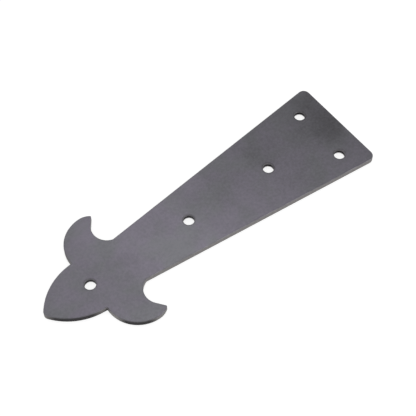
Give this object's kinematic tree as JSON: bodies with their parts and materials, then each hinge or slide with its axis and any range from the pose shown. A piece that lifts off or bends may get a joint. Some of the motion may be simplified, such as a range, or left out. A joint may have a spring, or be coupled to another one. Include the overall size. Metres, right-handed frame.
{
  "type": "decorative hinge front",
  "caption": "Flat steel hinge front with a lily-shaped end, a tapering strap and plain round screw holes, fixed to a door as ornament.",
  "frame": {"origin": "on the flat back face, under the middle of the plate's outline", "axes": "+X runs along the plate from the lily's tip to the wide end, +Y across it, +Z out of the finished face"},
  "size_m": [0.152, 0.0558, 0.0025],
  "materials": {
    "dark_patina_steel": "dark pewter-grey patina on fine-grained steel, satin"
  },
  "bodies": {
    "root": {"hinge_plate": "dark_patina_steel"}
  },
  "joints": []
}
